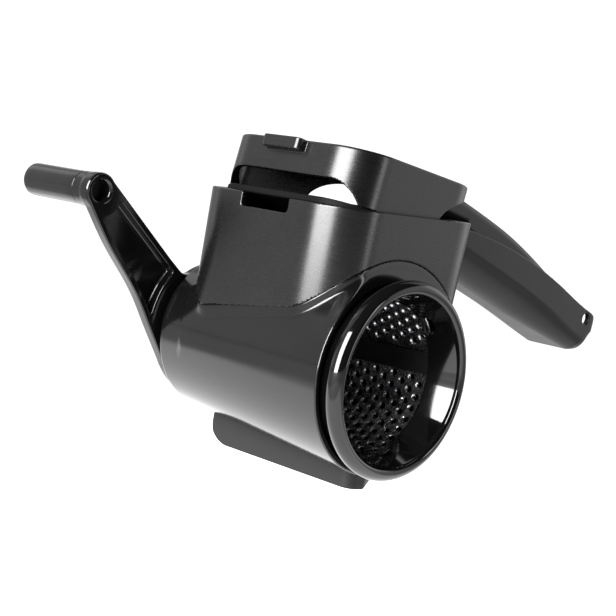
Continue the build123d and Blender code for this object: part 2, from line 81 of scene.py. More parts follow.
def poly2(x, y, pts):
    """Signed distance to a closed polygon."""
    x, y = np.broadcast_arrays(x, y)
    d = np.full(x.shape, 1e12)
    s = np.ones(x.shape)
    n = len(pts)
    for i in range(n):
        ax, ay = pts[i]
        bx, by = pts[i - 1]
        ex, ey = bx - ax, by - ay
        wx, wy = x - ax, y - ay
        t = np.clip((wx * ex + wy * ey) / (ex * ex + ey * ey), 0, 1)
        d = np.minimum(d, (wx - ex * t) ** 2 + (wy - ey * t) ** 2)
        c1, c2, c3 = y >= ay, y < by, ex * wy > ey * wx
        s = np.where((c1 & c2 & c3) | (~c1 & ~c2 & ~c3), -s, s)
    return s * np.sqrt(d)


def spline(pts, per=10):
    """Smooth curve through the points (centripetal Catmull-Rom)."""
    p = [np.array(q, float) for q in pts]
    p = [2 * p[0] - p[1]] + p + [2 * p[-1] - p[-2]]
    out = []
    for i in range(1, len(p) - 2):
        a, b, c, d = p[i - 1 : i + 3]
        t0 = 0.0
        t1 = t0 + np.linalg.norm(b - a) ** 0.5
        t2 = t1 + np.linalg.norm(c - b) ** 0.5
        t3 = t2 + np.linalg.norm(d - c) ** 0.5
        for t in np.linspace(t1, t2, per, endpoint=False):
            a1 = (t1 - t) / (t1 - t0) * a + (t - t0) / (t1 - t0) * b
            a2 = (t2 - t) / (t2 - t1) * b + (t - t1) / (t2 - t1) * c
            a3 = (t3 - t) / (t3 - t2) * c + (t - t2) / (t3 - t2) * d
            b1 = (t2 - t) / (t2 - t0) * a1 + (t - t0) / (t2 - t0) * a2
            b2 = (t3 - t) / (t3 - t1) * a2 + (t - t1) / (t3 - t1) * a3
            out.append(tuple((t2 - t) / (t2 - t1) * b1 + (t - t1) / (t2 - t1) * b2))
    out.append(tuple(p[-2]))
    return out


def skin(name, f, lo, hi, h, turn=None):
    """Mesh of the surface f = 0, on a grid of pitch h, every vertex brought onto the surface."""
    n = [int(math.ceil((b - a) / h)) + 1 for a, b in zip(lo, hi)]
    ax = [a + h * np.arange(k) for a, k in zip(lo, n)]
    v = np.array(np.broadcast_to(f(ax[0][:, None, None], ax[1][None, :, None], ax[2][None, None, :]), n), np.float32)
    inside = v < 0
    m = [k - 1 for k in n]
    count = np.zeros(m, np.uint8)
    for d in product((0, 1), repeat=3):
        count += inside[d[0] : d[0] + m[0], d[1] : d[1] + m[1], d[2] : d[2] + m[2]]
    cell = (count > 0) & (count < 8)
    index = np.full(m, -1, np.int32)
    at = np.argwhere(cell)
    index[cell] = np.arange(len(at))
    total, hits = np.zeros((len(at), 3)), np.zeros(len(at))
    for d in product((0, 1), repeat=3):
        for axis in range(3):
            if d[axis]:
                continue
            e = list(d)
            e[axis] = 1
            va = v[at[:, 0] + d[0], at[:, 1] + d[1], at[:, 2] + d[2]]
            vb = v[at[:, 0] + e[0], at[:, 1] + e[1], at[:, 2] + e[2]]
            on = (va < 0) != (vb < 0)
            t = va[on] / (va[on] - vb[on])
            p = np.tile(np.array(d, float), (on.sum(), 1))
            p[:, axis] += t
            total[on] += p
            hits[on] += 1
    p = np.array(lo) + h * (at + total / hits[:, None])
    quads = []
    ring = {0: ((0, -1, -1), (0, 0, -1), (0, 0, 0), (0, -1, 0)), 1: ((-1, 0, -1), (-1, 0, 0), (0, 0, 0), (0, 0, -1)), 2: ((-1, -1, 0), (0, -1, 0), (0, 0, 0), (-1, 0, 0))}
    for axis in range(3):
        a = [slice(1, k - 1) for k in n]
        b = list(a)
        a[axis], b[axis] = slice(0, n[axis] - 1), slice(1, n[axis])
        lower, upper = inside[tuple(a)], inside[tuple(b)]
        where = np.argwhere(lower != upper)
        flip = ~lower[lower != upper]
        base = where + np.array([0 if i == axis else 1 for i in range(3)])
        q = np.stack([index[tuple((base + np.array(o)).T)] for o in ring[axis]], 1)
        q[flip] = q[flip][:, ::-1]
        quads.append(q)
    quads = np.concatenate(quads)

    def slope(p, e=0.01):
        x, y, z = p.T
        return np.stack([f(x + e, y, z) - f(x - e, y, z), f(x, y + e, z) - f(x, y - e, z), f(x, y, z + e) - f(x, y, z - e)], 1) / (2 * e)

    for _ in range(4):
        g = slope(p)
        step = f(*p.T) / np.maximum((g * g).sum(1), 0.2)
        p = p - g * np.clip(step, -0.5 * h, 0.5 * h)[:, None]
    g = slope(p, 0.05)
    g /= np.maximum(np.linalg.norm(g, axis=1), 1e-9)[:, None]
    if turn is not None:
        g = turn(p, g)
    return shell(name, p, quads, g)


def shell(name, points, faces, normals=None):
    """Object from points in mm and faces."""
    mesh = bpy.data.meshes.new(name)
    points = np.asarray(points, np.float32) * 0.001
    faces = np.asarray(faces, np.int32)
    mesh.vertices.add(len(points))
    mesh.vertices.foreach_set("co", points.ravel())
    mesh.loops.add(faces.size)
    mesh.loops.foreach_set("vertex_index", faces.ravel())
    mesh.polygons.add(len(faces))
    mesh.polygons.foreach_set("loop_start", np.arange(0, faces.size, faces.shape[1], dtype=np.int32))
    mesh.update(calc_edges=True)
    mesh.validate()
    mesh.polygons.foreach_set("use_smooth", np.ones(len(mesh.polygons), bool))
    mesh.update()
    if normals is not None:
        mesh.normals_split_custom_set_from_vertices(np.asarray(normals, np.float32))
    obj = bpy.data.objects.new(name, mesh)
    scene.collection.objects.link(obj)
    return obj


def lathe(name, profile, centre, segments=144, closed=True, warp=None):
    """Turns (y, r) points round an axis along Y through centre = (x, z). A closed profile joins its ends."""
    prof = np.array(profile, float)
    k = len(prof)
    th = np.linspace(0, 2 * math.pi, segments, endpoint=False)
    y = np.repeat(prof[None, :, 0], segments, 0)
    r = np.repeat(prof[None, :, 1], segments, 0)
    if warp is not None:
        y, r = warp(y, r, th[:, None])
    x = centre[0] + r * np.cos(th)[:, None]
    z = centre[1] + r * np.sin(th)[:, None]
    pts = np.stack([x, y, z], 2).reshape(-1, 3)
    faces = []
    last = k if closed else k - 1
    for i in range(segments):
        j = (i + 1) % segments
        for a in range(last):
            b = (a + 1) % k
            faces.append((i * k + a, i * k + b, j * k + b, j * k + a))
    return shell(name, pts, faces)


# ---------------------------------------------------------------- materials
def material(name, colour, rough, build=None, metallic=0.0, level=0.5, ior=1.5):
    mat = bpy.data.materials.new(name)
    mat.use_nodes = True
    nt = mat.node_tree
    bsdf = nt.nodes["Principled BSDF"]
    bsdf.inputs["Base Color"].default_value = (*colour, 1)
    bsdf.inputs["Roughness"].default_value = rough
    bsdf.inputs["Metallic"].default_value = metallic
    bsdf.inputs["IOR"].default_value = ior
    bsdf.inputs["Specular IOR Level"].default_value = level
    if build:
        build(nt, bsdf)
    return mat


def coords(nt, scale=(1, 1, 1)):
    tex = nt.nodes.new("ShaderNodeTexCoord")
    mp = nt.nodes.new("ShaderNodeMapping")
    mp.inputs["Scale"].default_value = scale
    nt.links.new(tex.outputs["Object"], mp.inputs["Vector"])
    return mp.outputs["Vector"]


def noise(nt, vec, scale, detail=3.0, rough=0.55):
    n = nt.nodes.new("ShaderNodeTexNoise")
    n.inputs["Scale"].default_value = scale
    n.inputs["Detail"].default_value = detail
    n.inputs["Roughness"].default_value = rough
    nt.links.new(vec, n.inputs["Vector"])
    return n.outputs["Fac"]


def remap(nt, fac, lo, hi, a=0.3, b=0.7):
    m = nt.nodes.new("ShaderNodeMapRange")
    m.inputs["From Min"].default_value = a
    m.inputs["From Max"].default_value = b
    m.inputs["To Min"].default_value = lo
    m.inputs["To Max"].default_value = hi
    nt.links.new(fac, m.inputs["Value"])
    return m.outputs["Result"]


def tint(nt, fac, c0, c1, a=0.3, b=0.7):
    r = nt.nodes.new("ShaderNodeValToRGB")
    r.color_ramp.elements[0].position = a
    r.color_ramp.elements[0].color = (*c0, 1)
    r.color_ramp.elements[1].position = b
    r.color_ramp.elements[1].color = (*c1, 1)
    nt.links.new(fac, r.inputs["Fac"])
    return r.outputs["Color"]


def add(nt, a, b, op="ADD"):
    m = nt.nodes.new("ShaderNodeMath")
    m.operation = op
    for i, v in enumerate((a, b)):
        if isinstance(v, (int, float)):
            m.inputs[i].default_value = v
        else:
            nt.links.new(v, m.inputs[i])
    return m.outputs[0]


def bump(nt, bsdf, height, strength, distance=0.0001):
    b = nt.nodes.new("ShaderNodeBump")
    b.inputs["Strength"].default_value = strength
    b.inputs["Distance"].default_value = distance
    nt.links.new(height, b.inputs["Height"])
    nt.links.new(b.outputs["Normal"], bsdf.inputs["Normal"])


def moulded(c0, c1, r0, r1, grain=5200, grain_strength=0.05, streak=None, streak_strength=0.0):
    """Moulded plastic: slow cloud in colour and gloss, fine grain, and drawn streaks where asked."""

    def build(nt, bsdf):
        v = coords(nt)
        cloud = noise(nt, v, 55, 4)
        fine = noise(nt, v, grain, 2)
        nt.links.new(tint(nt, cloud, c0, c1), bsdf.inputs["Base Color"])
        rough = remap(nt, add(nt, add(nt, cloud, 0.7, "MULTIPLY"), add(nt, fine, 0.3, "MULTIPLY")), r0, r1, 0.35, 0.65)
        height = fine
        if streak:
            s = noise(nt, coords(nt, streak), 1.0, 3, 0.6)
            rough = add(nt, rough, remap(nt, s, -streak_strength, streak_strength))
            height = add(nt, fine, add(nt, s, 0.8, "MULTIPLY"))
        nt.links.new(rough, bsdf.inputs["Roughness"])
        bump(nt, bsdf, height, grain_strength)

    return build


def steel(c0, c1, r0, r1, stretch):
    def build(nt, bsdf):
        v = coords(nt, stretch)
        s = noise(nt, v, 1.0, 4, 0.6)
        cloud = noise(nt, coords(nt), 90, 3)
        nt.links.new(tint(nt, add(nt, add(nt, s, 0.6, "MULTIPLY"), add(nt, cloud, 0.4, "MULTIPLY")), c0, c1), bsdf.inputs["Base Color"])
        nt.links.new(remap(nt, s, r0, r1), bsdf.inputs["Roughness"])
        bump(nt, bsdf, s, 0.06)

    return build


K = lambda v: (v, v, v * 1.03)
SATIN = material("satin_black", K(0.0022), 0.27, moulded(K(0.0018), K(0.0026), 0.25, 0.28, 3600, 0.008, (260, 260, 4200), 0.03))
BARREL = material("barrel_black", K(0.0022), 0.16, moulded(K(0.0018), K(0.0026), 0.15, 0.17, 3600, 0.006))
HANDLE = material("handle_black", K(0.003), 0.36, moulded(K(0.0026), K(0.0036), 0.34, 0.38, 3600, 0.015), level=0.3)
# colour darker than the other body black: painted shade for the plate inside the pusher; it is also rougher and has
# little gloss
PLATE_SHADED = material("plate_black_painted_shade", K(0.0012), 0.6, moulded(K(0.001), K(0.0015), 0.56, 0.66, 3600, 0.02), level=0.08)
GLOSS = material("ring_gloss_black", K(0.002), 0.06, moulded(K(0.0016), K(0.0024), 0.05, 0.07, 3000, 0.004))
CRANK = material("crank_gloss_black", K(0.002), 0.13, moulded(K(0.0016), K(0.0026), 0.11, 0.15, 3400, 0.008))
KNOB = material("knob_black", K(0.003), 0.16, moulded(K(0.0025), K(0.0036), 0.14, 0.18, 4200, 0.012))
FOOT = material("foot_black", K(0.006), 0.66, moulded(K(0.005), K(0.007), 0.62, 0.72, 3200, 0.08), level=0.25)
CAGE = material("cage_black", K(0.004), 0.35, moulded(K(0.0034), K(0.005), 0.3, 0.4, 3800, 0.04))
SHEET = material("grating_steel", (0.6, 0.6, 0.61), 0.28, steel((0.4, 0.4, 0.41), (0.56, 0.56, 0.57), 0.18, 0.3, (500, 4200, 500)), metallic=1.0)
HARD = material("hardware_steel", (0.6, 0.6, 0.61), 0.3, steel((0.5, 0.5, 0.51), (0.64, 0.64, 0.65), 0.24, 0.36, (2600, 300, 2600)), metallic=1.0)
DARK = material("blackened_steel", (0.02, 0.02, 0.02), 0.4, steel((0.014, 0.014, 0.015), (0.024, 0.024, 0.025), 0.34, 0.46, (2600, 300, 2600)), metallic=1.0)
SHAFT = material("shaft_dark_grey", K(0.045), 0.4, moulded(K(0.038), K(0.05), 0.36, 0.46, 4200, 0.06))
BUSH = material("bush_natural", (0.66, 0.64, 0.58), 0.42, moulded((0.62, 0.6, 0.54), (0.68, 0.66, 0.61), 0.38, 0.48, 4200, 0.06))


def dress(obj, mat, body, slot, *nodes):
    obj.data.materials.clear()
    obj.data.materials.append(mat)
    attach(obj, body)
    if nodes:
        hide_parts(*nodes)
    return obj


def closed(x, z):
    """From the lever's rest to its pressed position."""
    c, s = math.cos(REST), math.sin(REST)
    u, w = x - PIVOT[0], z - PIVOT[1]
    return PIVOT[0] + u * c - w * s, PIVOT[1] + u * s + w * c


def hopper_wall(x, y, z, inset=0.0):
    g = (z - BASE) * TAN - inset
    return rr2(x - HX, y - HY, HALF_X + g, HALF_Y + g, CORNER + g)


# ---------------------------------------------------------------- hopper
def hopper_f(x, y, z):
    wall = cut(hopper_wall(x, y, z), -hopper_wall(x, y, z, 2.3))
    d = cut(wall, (z - RIM_Z - RIM_SLOPE * x) * 0.9976, 0.55)
    d = cut(d, (barrel_r(y) + SEAM - np.hypot(x, z - AXIS_Z)) * 0.9975, 0.32)
    notch = cut(rr2(y - HY, z - 95.7, 10.8, 10.0, 1.2), x + 20)
    d = cut(d, -notch, 0.4)
    gate = cut(cut(np.abs(y - HY) - 12.9, 84.6 - z), 25 - x)
    return cut(d, -gate, 0.4)


H = 0.5
hopper = skin("hopper_shell", hopper_f, (-36, -41.5, 46.5), (42, 35.5, 97.5), H)
dress(hopper, SATIN, "housing", "body_black", "hopper")


# ---------------------------------------------------------------- barrel with its saddle
def flank(y, side):
    """Slope from the hopper's lower edge, tangent to the barrel."""
    r = barrel_r(y) - 0.1
    if side < 0:
        px = HX - HALF_X - 0.1
        pz = np.sqrt((barrel_r(y) + SEAM) ** 2 - px**2)
        t = np.arctan2(pz, px) + np.arccos(r / np.hypot(px, pz))
    else:
        px, pz = HX + HALF_X + 0.1, BASE - AXIS_Z
        t = math.atan2(pz, px) - np.arccos(r / math.hypot(px, pz))
    return np.cos(t), np.sin(t), r


def barrel_f(x, y, z):
    y = np.asarray(y, float)
    zz = z - AXIS_Z
    rho = np.hypot(x, zz)
    rb = barrel_r(y)
    outer = cut((rho - rb) * 0.9975, y - BARREL_REAR, 1.4)
    seat = cut(hopper_wall(x, y, z), (rho - rb - SEAM) * 0.9975, 0.32)
    saddle = join(outer, seat, 4.2)
    for side in (-1, 1):
        c, s, r = flank(np.clip(y, -41, 34.5), side)
        saddle = cut(saddle, x * c + zz * s - r, 0.4)
        saddle = np.maximum(saddle, np.where(side * x > 0, side * (x * s - zz * c), -9.0))
    d = np.minimum(outer, saddle)
    d = cut(d, BARREL_FRONT - y, 0.5)
    d = cut(d, -cut((rho - rb + 2.1) * 0.9975, y - (BARREL_REAR - 4.5)), 0.35)
    d = cut(d, -cut(rr2(x, y - HY, 27.5, 33.6, 8.0), AXIS_Z + 8 - z), 0.3)
    return cut(d, -cut(rho - 9.0, 30 - y), 0.3)


def round_off(p, g):
    """Shades the slope under the hopper's front as the round barrel, with a narrow cove below the seam."""
    x, y, zz = p[:, 0], p[:, 1], p[:, 2] - AXIS_Z
    rho, rb = np.hypot(x, zz), barrel_r(y)
    dy = np.clip(np.abs(y - HY) - (HALF_Y - CORNER), 0, CORNER - 0.01)
    arc = np.sqrt(CORNER**2 - dy**2)
    drop = np.sqrt(np.maximum((rb + SEAM) ** 2 - (HX - HALF_X + CORNER - arc) ** 2, 0.5)) - zz
    on = (x < -8) & (rho > rb - 0.25) & (y > BARREL_FRONT + 0.7) & (np.abs(y - HY) < HALF_Y - 0.3) & (drop < 28)
    cone = np.stack([x / rho, np.full_like(x, 0.07), zz / rho], 1)
    t = math.radians(-12)
    edge = np.stack([-arc / CORNER * math.cos(t), np.sign(y - HY) * dy / CORNER * math.cos(t), np.full_like(x, math.sin(t))], 1)
    w = np.clip((drop - 2.4) / 2.8, 0, 1)
    w = (w * w * (3 - 2 * w))[:, None]
    n = edge * (1 - w) + cone * w
    k = (np.clip((drop - 0.3) / 0.5, 0, 1) * np.clip((y + 38.2) / 3.0, 0, 1))[:, None]
    n = g * (1 - k) + n * k
    n /= np.linalg.norm(n, axis=1)[:, None]
    return np.where(on[:, None], n, g)


barrel = skin("barrel_shell", barrel_f, (-36.5, -41, 4.5), (42, 45.5, 80), H, round_off)
dress(barrel, BARREL, "housing", "body_black", "barrel_housing")

# ---------------------------------------------------------------- handle
HANDLE_TOP = spline([(30, 96.5), (34, 96.2), (62.7, 93.8), (86, 90.9), (106.7, 86.6), (124, 81.7), (140.4, 76.1), (149.0, 73.4), (153.6, 72.2), (156.8, 70.6), (158.8, 68.0), (159.7, 65.0)])
HANDLE_TIP = spline([(159.6, 67.4), (159.0, 63.0), (156.6, 58.6), (152.9, 55.7), (148.6, 55.0)])
HANDLE_LOW = [(110, 64.5), (72, 74.0), (34, 83.41)]
CHANNEL = [(20, 89.8), (141, 59.7), (146, 62.6), (175, 62.6), (175, 120), (20, 120)]


def handle_f(x, y, z):
    yy = np.abs(y - HY) - 15.0
    bottom = 86.9 - 0.249 * (x - 20)
    below = np.clip((bottom + 18 - z) / 10, 0, 1)
    taper = np.clip((x - 96) / 60, 0, 1)
    swell = 12.5 - 6.2 * taper * taper * (3 - 2 * taper)
    end = np.clip((x - 138) / 14, 0, 1)
    end = end * end * (3 - 2 * end)
    edge = np.maximum(0.5 + (swell - 0.5) * below * below * (3 - 2 * below), 4.5 * end)
    d = cut(poly2(x, z, [(20, 130), (159.6, 130)] + HANDLE_TIP + HANDLE_LOW + [(20, 86.9)]), yy, edge)
    d = cut(d, poly2(x, z, HANDLE_TOP + [(159.7, -50), (20, -50), (20, 97.4)]), 0.5)
    channel = cut(poly2(x, z, CHANNEL), np.abs(y - HY) - 12.8, 6.0 * np.clip((bottom + 14 - z) / 5, 0.1, 1))
    d = cut(d, -channel, 0.4)
    d = cut(d, 2.5 - np.hypot(x - 150.2, z - 69.2), 0.35)
    return cut(d, -hopper_wall(x, y, z), 0.2)


handle = skin("handle_channel", handle_f, (35, -19.2, 52), (162, 13.2, 98.5), H)
dress(handle, HANDLE, "housing", "body_black", "lower_handle")

# ---------------------------------------------------------------- press lever
CROWN = spline([(34.8, 95.3), (50, 94.9), (66, 93.4), (86.4, 90.7), (104.5, 86.9), (124.1, 81.6), (137.2, 77.6)])
UNDER = [(137.2, 67.0), (129.7, 67.6), (118, 73.0), (100, 78.0), (80, 82.4), (60, 85.2), (34.8, 85.9)]


def lever_f(x, y, z):
    x, z = closed(x, z)
    yy = np.abs(y - HY)
    crown = poly2(x, z, [(20, 95.4)] + CROWN + [(160, 70), (160, -50), (20, -50)])
    under = poly2(x, z, [(160, 67)] + UNDER + [(20, 86), (20, 200), (160, 200)])
    d = cut(crown, yy - 12.2, 3.2)
    d = cut(d, cut(under, x - 137.2, 1.0), 0.6)
    d = join(d, cut(np.hypot(x - PIVOT[0], z - PIVOT[1]) - 6.1, yy - 12.2, 0.6), 0.6)
    hollow = cut(poly2(x, z, [(46, 92.4), (66, 90.7), (86, 88.1), (104, 84.3), (122, 79.3), (122, 60), (46, 60)]), yy - 10.0, 1.2)
    d = cut(d, -hollow, 0.4)
    clear = 0.751 * (yy - 8.6) - 0.661 * (z - 84.5)
    d = cut(d, -cut(-clear, x - 57.8), 0.3)
    return cut(d, 34.8 - x, 0.3)


lever = skin("press_lever_shell", lever_f, (36, -16.2, 63), (144, 10.2, 110), H)
dress(lever, HANDLE, "lever", "body_black", "press_lever")

# ---------------------------------------------------------------- pusher
REAR_CUT = [(14.5, 50)] + spline([(14.5, 79.0), (16.6, 82.2), (24.8, 87.6), (33.0, 90.2), (45, 91.2)]) + [(60, 91.2), (60, 50)]


def pusher_f(x, y, z):
    x, z = closed(x, z)
    yy = y - HY
    top = (z - RIM_Z - RIM_SLOPE * x + 0.4) * 0.9976
    d = cut(rr2(x - 2, yy, 32.8, 32.8, 15), top, 0.9)
    d = cut(d, 72.75 - z, 0.3)
    d = cut(d, -cut(rr2(x - 2, yy, 30.4, 30.4, 12.6), top + 2.2, 0.8), 0.4)
    d = cut(d, -cut(rr2(yy, z - 59.2, 30.4, 20, 9.5), x + 4), 0.45)
    d = cut(d, -cut(poly2(x, z, REAR_CUT), 12.8 - np.abs(yy)), 0.4)
    d = cut(d, -cut(cut(np.abs(yy) - 14.9, z - 85), 8 - x), 0.3)
    tab = cut(cut(np.abs(x + 31.8) - 2.85, np.abs(yy - 1.6) - 8.8, 1.9), np.abs(z - 88.2) - 2.0, 0.4)
    return join(d, tab, 0.25)


pusher = skin("pusher_head", pusher_f, (-37, -37.2, 84), (40, 31.2, 111), H)
dress(pusher, SATIN, "lever", "body_black", "pusher_shell")


def plate_f(x, y, z):
    x, z = closed(x, z)
    return cut(rr2(x - 2, y - HY, 32.9, 33.0, 15.2), np.abs(z - 71.45) - 1.25, 0.55)


plate = skin("presser_plate_disc", plate_f, (-34, -37.5, 80), (40, 31.5, 94), H)
# the plate's darker material is painted shade inside the pusher
dress(plate, PLATE_SHADED, "lever", "body_black", "presser_plate")

# ---------------------------------------------------------------- crank
ARM = spline([(-66.8, 38.0), (-55.8, 25.2), (-39.8, 9.7), (-29.8, -2.8), (-19.5, -15.6)]) + [(0, 0), (-15.8, 16.2), (-20.8, 19.6), (-26.8, 23.6), (-59.0, 46.9)]


def crank_f(x, y, z):
    w = z - AXIS_Z
    rho = np.hypot(x, w)
    boss = np.hypot(x - BOSS[0], w - BOSS[1])
    inner = np.clip((0.56 * x + 0.829 * w + 5) / 8, 0, 1)
    d2 = np.minimum(join(rho - 25.0, poly2(x, w, ARM), 4.0 * inner), boss - 6.0)
    d = cut(cut(d2, 45.6 - y, 0.55), y - 51.0, 2.2)
    behind = np.maximum(46.5 - y, y - 54.4)
    d = join(d, cut(boss - 6.0, behind, 0.25), 0.8)
    d = join(d, cut(rho - 10.0, behind, 0.8), 0.8)
    pocket = cut(cut(d2 + 2.3, 31.0 - rho, 1.0), 9.2 - boss, 1.0)
    d = cut(d, -cut(pocket, y - 49.3, 0.7), 0.4)
    d = cut(d, -cut(boss - 3.5, y - 52.0), 1.35)
    d = cut(d, -cut(rho - 6.05, y - 46.2), 0.1)
    return cut(d, -cut(rr2(x, w, 4.0, 4.0, 0.1), y - 53.6), 0.1)


crank = skin("crank_arm_shell", crank_f, (-70, 44.5, 11.5), (27.5, 55.5, 89), 0.4)
dress(crank, CRANK, "crank", "gloss_black", "crank_arm")

KN = [(54.8, 2.6), (54.8, 5.5), (54.85, 5.7), (54.98, 5.78), (55.2, 5.8), (60, 5.8), (70, 5.8), (80, 5.8), (82.6, 5.8), (83.2, 5.74), (83.65, 5.5), (83.92, 5.15), (84.0, 4.8), (84.0, 4.35), (83.4, 4.3), (78.4, 4.3), (78.3, 2.6)]
knob = lathe("knob_sleeve", KN, (BOSS[0], AXIS_Z + BOSS[1]), 96)
dress(knob, KNOB, "knob", "knob_black", "knob_grip")

# ---------------------------------------------------------------- drum ring
SLEEVE_BACK = barrel_r(-36.9) - 4.7 + 0.25
BEAD = spline([(-46.6, 28.85), (-47.9, 29.25), (-48.6, 30.6), (-47.9, 32.2), (-45.9, 33.35), (-43.6, 32.9), (-42.5, 31.6)], 12)
COLLAR = [(-46.6 + t * 9.7, 28.85 - t * 3.95) for t in np.linspace(0, 0.985, 22)][::-1]
RING = COLLAR[:-1] + BEAD + [(-42.5, 30.4), (-33.8, 30.4), (-33.8, SLEEVE_BACK), (-36.9, SLEEVE_BACK), (-36.9, 25.6), (-36.9, 25.15), (-36.93, 25.0)]


def scallop(y, r, th):
    """Finger notches in the collar's inner edge."""
    bite = np.zeros_like(th)
    for a in (47, 167, 287):
        s = 25.5 * ((th - math.radians(a) + math.pi) % (2 * math.pi) - math.pi)
        bite = np.maximum(bite, np.sqrt(np.maximum(4.4**2 - s**2, 0)))
    on = (r < 29.0) & (y > -46.65) & (y < -37.0)
    back = np.zeros_like(y)
    back[:, -4:] = 1.0
    on[:, -4:] = False
    y = y - bite * np.where(on, (y + 46.6) / 9.7, back)
    r = np.where(on, 28.85 - 3.95 * (y + 46.6) / 9.7, r)
    r[:, -3:] += 3.95 / 9.7 * bite * np.array([1.0, 1.0, 1.0])
    return y, r


ring = lathe("drum_ring_bead", RING, (0, AXIS_Z), 288, True, scallop)
dress(ring, GLOSS, "drum", "gloss_black", "drum_ring")

# ---------------------------------------------------------------- foot
def foot_f(x, y, z):
    plan = poly2(x, y, [(1, -31.5), (3.8, -31.5), (38, -7.9), (38, 20.5), (28.2, 32), (1, 32)]) - 4.0
    wedge = poly2(x, z, [(-30, -20), (80, -20), (80, 5), (42, 5), (24, 14.5), (16, 24), (-10, 40), (-30, 40)])
    heel = np.where(y > 24.5, np.hypot(np.maximum(y - 24.5, 0), np.minimum(z - 11.5, 0)) - 11.5, -z)
    d = cut(cut(plan, heel, 0.8), wedge, 1.2)
    d = cut(d, -z, 0.3)
    return cut(d, (barrel_r(y) - np.hypot(x, z - AXIS_Z)) * 0.9975, 0.1)


foot = skin("stand_foot_shell", foot_f, (-4.5, -37, -0.6), (43.5, 37.5, 22), 0.6)
dress(foot, FOOT, "housing", "foot_black", "stand_foot")


# ---------------------------------------------------------------- punched sleeve
def sleeve():
    around, y0, y1 = 40, -36.85, 35.4
    cols = 18
    step = 3.85
    start = -32.6
    half = math.pi / around
    ribs = [math.radians(a) for a in (12, 132, 252)]
    pts, faces, key = [], [], {}

    def radius(y):
        return barrel_r(y) - 4.7

    def vert(y, th, lift, side):
        th = th % (2 * math.pi)
        k = (round(y, 3), round(th * 30, 3) % round(2 * math.pi * 30, 3), round(lift, 3), side)
        if k not in key:
            r = radius(y) + lift - (0.5 if side else 0.0)
            key[k] = len(pts)
            pts.append((r * math.cos(th), y, AXIS_Z + r * math.sin(th)))
        return key[k]

    def quad(a, b, c, d, side):
        faces.append((a, b, c, d) if not side else (d, c, b, a))

    n = 4
    rings = [(1.0, 0.0), (0.9, 0.04), (0.76, 0.3), (0.64, 0.62), (0.57, 0.80)]
    bounds_y = [y0, start - step / 2] + [start + step * (i + 0.5) for i in range(cols)]
    bounds_y = [b for b in bounds_y if b < y1 - 0.3] + [y1]
    for ci in range(len(bounds_y) - 1):
        ya, yb = bounds_y[ci], bounds_y[ci + 1]
        tooth_col = 0 < ci < len(bounds_y) - 2
        shift = half if ci % 2 else 0.0
        for ti in range(around):
            tc = ti * 2 * half + shift
            yc = (ya + yb) / 2
            near = min(abs((tc - a + math.pi) % (2 * math.pi) - math.pi) for a in ribs) * radius(yc)
            tooth = tooth_col and near > 5.4
            t0 = tc - half
            if not tooth:
                for side in (0, 1):
                    for i in range(n):
                        for j in range(n):
                            u0, u1 = t0 + 2 * half * i / n, t0 + 2 * half * (i + 1) / n
                            v0, v1 = ya + (yb - ya) * j / n, ya + (yb - ya) * (j + 1) / n
                            quad(vert(v0, u0, 0, side), vert(v0, u1, 0, side), vert(v1, u1, 0, side), vert(v1, u0, 0, side), side)
                continue
            rim = [(i / n, 0.0) for i in range(n)] + [(1.0, i / n) for i in range(n)] + [(1 - i / n, 1.0) for i in range(n)] + [(0.0, 1 - i / n) for i in range(n)]
            loops = {0: [], 1: []}
            for side in (0, 1):
                loops[side].append([vert(ya + (yb - ya) * v, t0 + 2 * half * u, 0, side) for u, v in rim])
                for scale, lift in rings:
                    loop = []
                    for u, v in rim:
                        ang = math.atan2((v - 0.5) * (yb - ya), (u - 0.5) * 2 * half * radius(yc))
                        rad = 1.72 * scale
                        lean = 0.52 + 0.48 * math.cos(ang - math.pi)
                        y = yc + rad * math.sin(ang)
                        th = tc + rad * math.cos(ang) / radius(yc)
                        k = len(pts)
                        r = radius(y) + lift * lean * 1.25 - (0.5 if side else 0.0)
                        pts.append((r * math.cos(th), y, AXIS_Z + r * math.sin(th)))
                        loop.append(k)
                    loops[side].append(loop)
                for a, b in zip(loops[side][:-1], loops[side][1:]):
                    for i in range(len(a)):
                        j = (i + 1) % len(a)
                        quad(a[i], a[j], b[j], b[i], side)
            a, b = loops[0][-1], loops[1][-1]
            for i in range(len(a)):
                j = (i + 1) % len(a)
                faces.append((a[i], a[j], b[j], b[i]))
    for y, turn in ((y0, 0), (y1, 1)):
        for i in range(around * n):
            shift = half if turn and (len(bounds_y) - 2) % 2 else 0.0
            u0, u1 = -half + shift + 2 * half * i / n, -half + shift + 2 * half * (i + 1) / n
            quad(vert(y, u0, 0, 0), vert(y, u0, 0, 1), vert(y, u1, 0, 1), vert(y, u1, 0, 0), turn)
    return shell("grating_drum", pts, faces)


grating = sleeve()
dress(grating, SHEET, "drum", "steel_sheet", "grating_sleeve")

# ---------------------------------------------------------------- pieces kept as built
for node, mat in {
    "drum_cage": CAGE,
    "drive_shaft": SHAFT,
    "rear_bush": BUSH,
    "thrust_washer": HARD,
    "shaft_screw": HARD,
    "knob_spindle": DARK,
    "knob_cap": KNOB,
    "hinge_pin": HARD,
    "pusher_screws": HARD,
    "foot_screws": HARD,
}.items():
    NODES[node].data.materials.clear()
    NODES[node].data.materials.append(mat)

